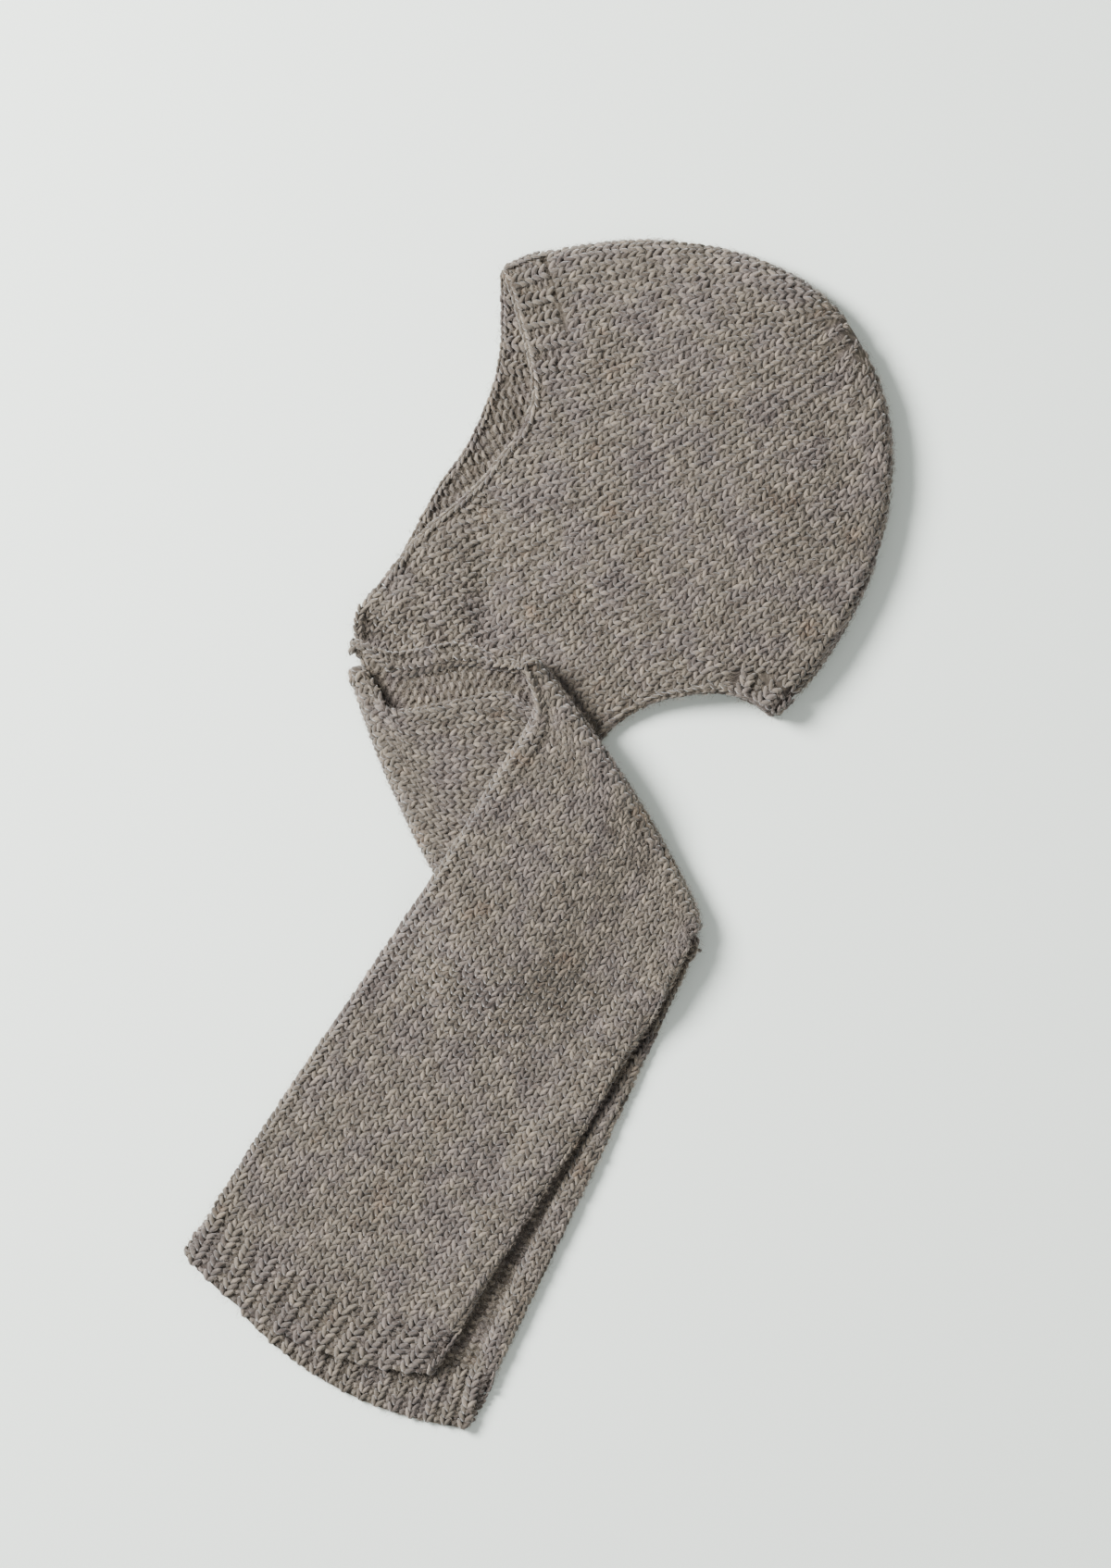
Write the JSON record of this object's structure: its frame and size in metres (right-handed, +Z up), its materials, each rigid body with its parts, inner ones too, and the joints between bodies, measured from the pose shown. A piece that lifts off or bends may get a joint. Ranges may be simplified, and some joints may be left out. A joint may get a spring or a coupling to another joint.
{
  "type": "snood hood",
  "caption": "Knitted wool hood with ribbed face and nape edges and long scarf tails, lying folded on its side.",
  "frame": {"origin": "on the table under the middle of the lying hood and tails", "axes": "+Z up from the table, +Y from the tails' hems towards the crown, +X from the face opening towards the back of the head"},
  "size_m": [0.3448, 0.5772, 0.0237],
  "materials": {
    "greige_knit": "matte",
    "greige_rib": "matte"
  },
  "bodies": {
    "root": {"crown": "greige_knit", "forehead_rib": "greige_rib", "nape_rib": "greige_rib", "left_tail": "greige_knit", "right_tail": "greige_knit", "left_tail_hem": "greige_rib", "right_tail_hem": "greige_rib"}
  },
  "joints": []
}
